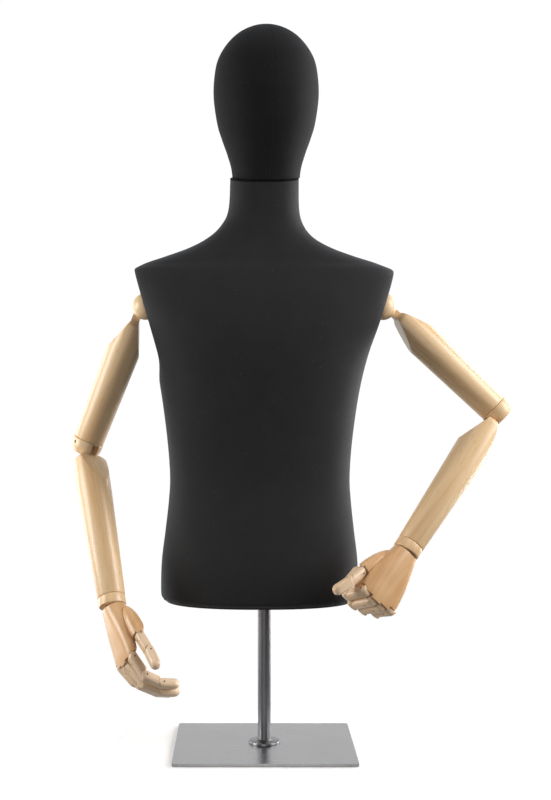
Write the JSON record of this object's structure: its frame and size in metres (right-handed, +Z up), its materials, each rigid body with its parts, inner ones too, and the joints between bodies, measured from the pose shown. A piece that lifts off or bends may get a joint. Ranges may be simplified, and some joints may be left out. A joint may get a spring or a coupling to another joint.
{
  "type": "dress form mannequin",
  "caption": "Cloth covered dress form with egg head and jointed wooden arms and hands, on a pole stand with a flat steel base.",
  "frame": {"origin": "centre of the underside of the base plate, on the pole axis", "axes": "+Z up along the pole, -Y towards the front of the form, +X towards the form's own left arm"},
  "size_m": [0.743, 0.3429, 1.2126],
  "materials": {
    "satin_steel": "satin",
    "dark_steel": "satin",
    "charcoal_cloth": "matte",
    "moulded_shell": "matte",
    "beech": "satin"
  },
  "bodies": {
    "stand": {"base_plate": "satin_steel", "base_flange": "satin_steel", "base_stud": "dark_steel", "pole": "dark_steel"},
    "collar": {"support_collar": "dark_steel", "collar_screw": "dark_steel"},
    "torso": {"torso_shell": "moulded_shell", "torso_cover": "charcoal_cloth", "bottom_board": "beech", "l_shoulder_block": "beech", "r_shoulder_block": "beech"},
    "head": {"head_core": "moulded_shell", "head_cover": "charcoal_cloth", "head_peg": "beech"},
    "l_shoulder": {"l_shoulder_knuckle": "beech", "l_shoulder_pin": "dark_steel"},
    "l_upper": {"l_upper_arm": "beech"},
    "l_elbow": {"l_elbow_knuckle": "beech", "l_elbow_pin": "dark_steel"},
    "l_fore": {"l_forearm": "beech"},
    "l_wrist": {"l_wrist_block": "beech", "l_wrist_pin": "dark_steel"},
    "l_palm": {"l_palm": "beech"},
    "l_thumb_1": {"l_thumb_1": "beech"},
    "l_thumb_2": {"l_thumb_2": "beech"},
    "l_index_1": {"l_index_1": "beech"},
    "l_index_2": {"l_index_2": "beech"},
    "l_index_3": {"l_index_3": "beech"},
    "l_middle_1": {"l_middle_1": "beech"},
    "l_middle_2": {"l_middle_2": "beech"},
    "l_middle_3": {"l_middle_3": "beech"},
    "l_ring_1": {"l_ring_1": "beech"},
    "l_ring_2": {"l_ring_2": "beech"},
    "l_ring_3": {"l_ring_3": "beech"},
    "l_little_1": {"l_little_1": "beech"},
    "l_little_2": {"l_little_2": "beech"},
    "l_little_3": {"l_little_3": "beech"},
    "r_shoulder": {"r_shoulder_knuckle": "beech", "r_shoulder_pin": "dark_steel"},
    "r_upper": {"r_upper_arm": "beech"},
    "r_elbow": {"r_elbow_knuckle": "beech", "r_elbow_pin": "dark_steel"},
    "r_fore": {"r_forearm": "beech"},
    "r_wrist": {"r_wrist_block": "beech", "r_wrist_pin": "dark_steel"},
    "r_palm": {"r_palm": "beech"},
    "r_thumb_1": {"r_thumb_1": "beech"},
    "r_thumb_2": {"r_thumb_2": "beech"},
    "r_index_1": {"r_index_1": "beech"},
    "r_index_2": {"r_index_2": "beech"},
    "r_index_3": {"r_index_3": "beech"},
    "r_middle_1": {"r_middle_1": "beech"},
    "r_middle_2": {"r_middle_2": "beech"},
    "r_middle_3": {"r_middle_3": "beech"},
    "r_ring_1": {"r_ring_1": "beech"},
    "r_ring_2": {"r_ring_2": "beech"},
    "r_ring_3": {"r_ring_3": "beech"},
    "r_little_1": {"r_little_1": "beech"},
    "r_little_2": {"r_little_2": "beech"},
    "r_little_3": {"r_little_3": "beech"}
  },
  "joints": [
    {"name": "torso_height", "type": "slide", "parent": "stand", "child": "collar", "axis": [0, 0, 1], "range_m": [-0.04, 0.15]},
    {"name": "torso_turn", "type": "hinge", "parent": "collar", "child": "torso", "pos_m": [0, 0, 0.262], "axis": [0, 0, 1], "range_deg": [-180, 180]},
    {"name": "head_turn", "type": "hinge", "parent": "torso", "child": "head", "pos_m": [0, -0.018, 0.9553], "axis": [0, -0.225, 0.9744], "range_deg": [-80, 80]},
    {"name": "l_shoulder_swing", "type": "hinge", "parent": "torso", "child": "l_shoulder", "pos_m": [0.20058, -0.0008, 0.741], "axis": [-0.9613, 0, 0.2756], "range_deg": [-3, 95]},
    {"name": "l_shoulder_raise", "type": "hinge", "parent": "l_shoulder", "child": "l_upper", "pos_m": [0.20971, -0.0008, 0.73838], "axis": [0.0307, -0.9938, 0.1072], "range_deg": [-4, 37]},
    {"name": "l_elbow_turn", "type": "hinge", "parent": "l_upper", "child": "l_elbow", "pos_m": [0.38392, -0.01346, 0.57102], "axis": [0.7201, -0.0523, -0.6918], "range_deg": [-90, 3]},
    {"name": "l_elbow_bend", "type": "hinge", "parent": "l_elbow", "child": "l_fore", "pos_m": [0.38968, -0.01388, 0.56549], "axis": [-0.194, 0.9422, -0.2732], "range_deg": [-82, 3]},
    {"name": "l_wrist_turn", "type": "hinge", "parent": "l_fore", "child": "l_wrist", "pos_m": [0.23365, -0.10732, 0.35404], "axis": [-0.5594, -0.335, -0.7581], "range_deg": [-90, 90]},
    {"name": "l_wrist_bend", "type": "hinge", "parent": "l_wrist", "child": "l_palm", "pos_m": [0.22638, -0.11168, 0.34419], "axis": [0.6465, 0.396, -0.6521], "range_deg": [-5.6, 12.4]},
    {"name": "l_thumb_1_hinge", "type": "hinge", "parent": "l_palm", "child": "l_thumb_1", "pos_m": [0.15397, -0.14172, 0.3155], "axis": [-0.3695, -0.2006, 0.9073], "range_deg": [-36, 4]},
    {"name": "l_thumb_2_hinge", "type": "hinge", "parent": "l_thumb_1", "child": "l_thumb_2", "pos_m": [0.13021, -0.16301, 0.30111], "axis": [-0.3695, -0.2006, 0.9073], "range_deg": [-45.9, 20.1]},
    {"name": "l_index_1_hinge", "type": "hinge", "parent": "l_palm", "child": "l_index_1", "pos_m": [0.15369, -0.16246, 0.28728], "axis": [0.6465, 0.396, -0.6521], "range_deg": [-77, 2]},
    {"name": "l_index_2_hinge", "type": "hinge", "parent": "l_index_1", "child": "l_index_2", "pos_m": [0.13033, -0.13955, 0.27803], "axis": [0.6465, 0.396, -0.6521], "range_deg": [-80, 4]},
    {"name": "l_index_3_hinge", "type": "hinge", "parent": "l_index_2", "child": "l_index_3", "pos_m": [0.13623, -0.1187, 0.29655], "axis": [0.6465, 0.396, -0.6521], "range_deg": [-44, 4]},
    {"name": "l_middle_1_hinge", "type": "hinge", "parent": "l_palm", "child": "l_middle_1", "pos_m": [0.16451, -0.15608, 0.27121], "axis": [0.6465, 0.396, -0.6521], "range_deg": [-80, 5]},
    {"name": "l_middle_2_hinge", "type": "hinge", "parent": "l_middle_1", "child": "l_middle_2", "pos_m": [0.13976, -0.12998, 0.26253], "axis": [0.6465, 0.396, -0.6521], "range_deg": [-48, 8]},
    {"name": "l_middle_3_hinge", "type": "hinge", "parent": "l_middle_2", "child": "l_middle_3", "pos_m": [0.14713, -0.10893, 0.28261], "axis": [0.6465, 0.396, -0.6521], "range_deg": [-44, 11]},
    {"name": "l_ring_1_hinge", "type": "hinge", "parent": "l_palm", "child": "l_ring_1", "pos_m": [0.17902, -0.147, 0.26044], "axis": [0.6465, 0.396, -0.6521], "range_deg": [-81, 4]},
    {"name": "l_ring_2_hinge", "type": "hinge", "parent": "l_ring_1", "child": "l_ring_2", "pos_m": [0.15617, -0.12231, 0.25278], "axis": [0.6465, 0.396, -0.6521], "range_deg": [-68, 8]},
    {"name": "l_ring_3_hinge", "type": "hinge", "parent": "l_ring_2", "child": "l_ring_3", "pos_m": [0.16365, -0.10228, 0.27237], "axis": [0.6465, 0.396, -0.6521], "range_deg": [-44, 11]},
    {"name": "l_little_1_hinge", "type": "hinge", "parent": "l_palm", "child": "l_little_1", "pos_m": [0.19565, -0.13639, 0.2527], "axis": [0.6465, 0.396, -0.6521], "range_deg": [-82, 3]},
    {"name": "l_little_2_hinge", "type": "hinge", "parent": "l_little_1", "child": "l_little_2", "pos_m": [0.17663, -0.11535, 0.24663], "axis": [0.6465, 0.396, -0.6521], "range_deg": [-78, 10]},
    {"name": "l_little_3_hinge", "type": "hinge", "parent": "l_little_2", "child": "l_little_3", "pos_m": [0.18252, -0.09851, 0.26269], "axis": [0.6465, 0.396, -0.6521], "range_deg": [-44, 11]},
    {"name": "r_shoulder_swing", "type": "hinge", "parent": "torso", "child": "r_shoulder", "pos_m": [-0.20058, -0.0008, 0.741], "axis": [-0.9613, 0, -0.2756], "range_deg": [-50, 100]},
    {"name": "r_shoulder_raise", "type": "hinge", "parent": "r_shoulder", "child": "r_upper", "pos_m": [-0.20971, -0.0008, 0.73838], "axis": [-0.036, 0.9914, 0.1255], "range_deg": [-6, 62]},
    {"name": "r_elbow_turn", "type": "hinge", "parent": "r_upper", "child": "r_elbow", "pos_m": [-0.29882, 0.02425, 0.51489], "axis": [0.3684, -0.1036, 0.9239], "range_deg": [-90, 16]},
    {"name": "r_elbow_bend", "type": "hinge", "parent": "r_elbow", "child": "r_fore", "pos_m": [-0.30177, 0.02508, 0.5075], "axis": [-0.7141, -0.6679, 0.2099], "range_deg": [-48, 37]},
    {"name": "r_wrist_turn", "type": "hinge", "parent": "r_fore", "child": "r_wrist", "pos_m": [-0.24713, -0.10836, 0.26876], "axis": [-0.1959, 0.4784, 0.856], "range_deg": [-90, 90]},
    {"name": "r_wrist_bend", "type": "hinge", "parent": "r_wrist", "child": "r_palm", "pos_m": [-0.24458, -0.11457, 0.25764], "axis": [0.3316, -0.7892, 0.517], "range_deg": [-14.8, 3.2]},
    {"name": "r_thumb_1_hinge", "type": "hinge", "parent": "r_palm", "child": "r_thumb_1", "pos_m": [-0.19634, -0.17049, 0.21872], "axis": [-0.211, 0.5885, -0.7805], "range_deg": [-22, 11]},
    {"name": "r_thumb_2_hinge", "type": "hinge", "parent": "r_thumb_1", "child": "r_thumb_2", "pos_m": [-0.17897, -0.1923, 0.19757], "axis": [-0.211, 0.5885, -0.7805], "range_deg": [-63.2, 2.8]},
    {"name": "r_index_1_hinge", "type": "hinge", "parent": "r_palm", "child": "r_index_1", "pos_m": [-0.20553, -0.18239, 0.18709], "axis": [0.3316, -0.7892, 0.517], "range_deg": [-26, 36]},
    {"name": "r_index_2_hinge", "type": "hinge", "parent": "r_index_1", "child": "r_index_2", "pos_m": [-0.18543, -0.19101, 0.16105], "axis": [0.3316, -0.7892, 0.517], "range_deg": [-34, 54]},
    {"name": "r_index_3_hinge", "type": "hinge", "parent": "r_index_2", "child": "r_index_3", "pos_m": [-0.15975, -0.18808, 0.14905], "axis": [0.3316, -0.7892, 0.517], "range_deg": [-24, 31]},
    {"name": "r_middle_1_hinge", "type": "hinge", "parent": "r_palm", "child": "r_middle_1", "pos_m": [-0.21101, -0.16836, 0.17334], "axis": [0.3316, -0.7892, 0.517], "range_deg": [-29, 56]},
    {"name": "r_middle_2_hinge", "type": "hinge", "parent": "r_middle_1", "child": "r_middle_2", "pos_m": [-0.18775, -0.17664, 0.14579], "axis": [0.3316, -0.7892, 0.517], "range_deg": [-32, 56]},
    {"name": "r_middle_3_hinge", "type": "hinge", "parent": "r_middle_2", "child": "r_middle_3", "pos_m": [-0.16057, -0.17324, 0.13354], "axis": [0.3316, -0.7892, 0.517], "range_deg": [-24, 31]},
    {"name": "r_ring_1_hinge", "type": "hinge", "parent": "r_palm", "child": "r_ring_1", "pos_m": [-0.2185, -0.15126, 0.16556], "axis": [0.3316, -0.7892, 0.517], "range_deg": [-31, 54]},
    {"name": "r_ring_2_hinge", "type": "hinge", "parent": "r_ring_1", "child": "r_ring_2", "pos_m": [-0.19598, -0.15829, 0.14039], "axis": [0.3316, -0.7892, 0.517], "range_deg": [-30, 58]},
    {"name": "r_ring_3_hinge", "type": "hinge", "parent": "r_ring_2", "child": "r_ring_3", "pos_m": [-0.16971, -0.155, 0.12856], "axis": [0.3316, -0.7892, 0.517], "range_deg": [-22, 33]},
    {"name": "r_little_1_hinge", "type": "hinge", "parent": "r_palm", "child": "r_little_1", "pos_m": [-0.22715, -0.13242, 0.16119], "axis": [0.3316, -0.7892, 0.517], "range_deg": [-33, 52]},
    {"name": "r_little_2_hinge", "type": "hinge", "parent": "r_little_1", "child": "r_little_2", "pos_m": [-0.20754, -0.13774, 0.14049], "axis": [0.3316, -0.7892, 0.517], "range_deg": [-28, 60]},
    {"name": "r_little_3_hinge", "type": "hinge", "parent": "r_little_2", "child": "r_little_3", "pos_m": [-0.1858, -0.13502, 0.1307], "axis": [0.3316, -0.7892, 0.517], "range_deg": [-20, 35]}
  ]
}
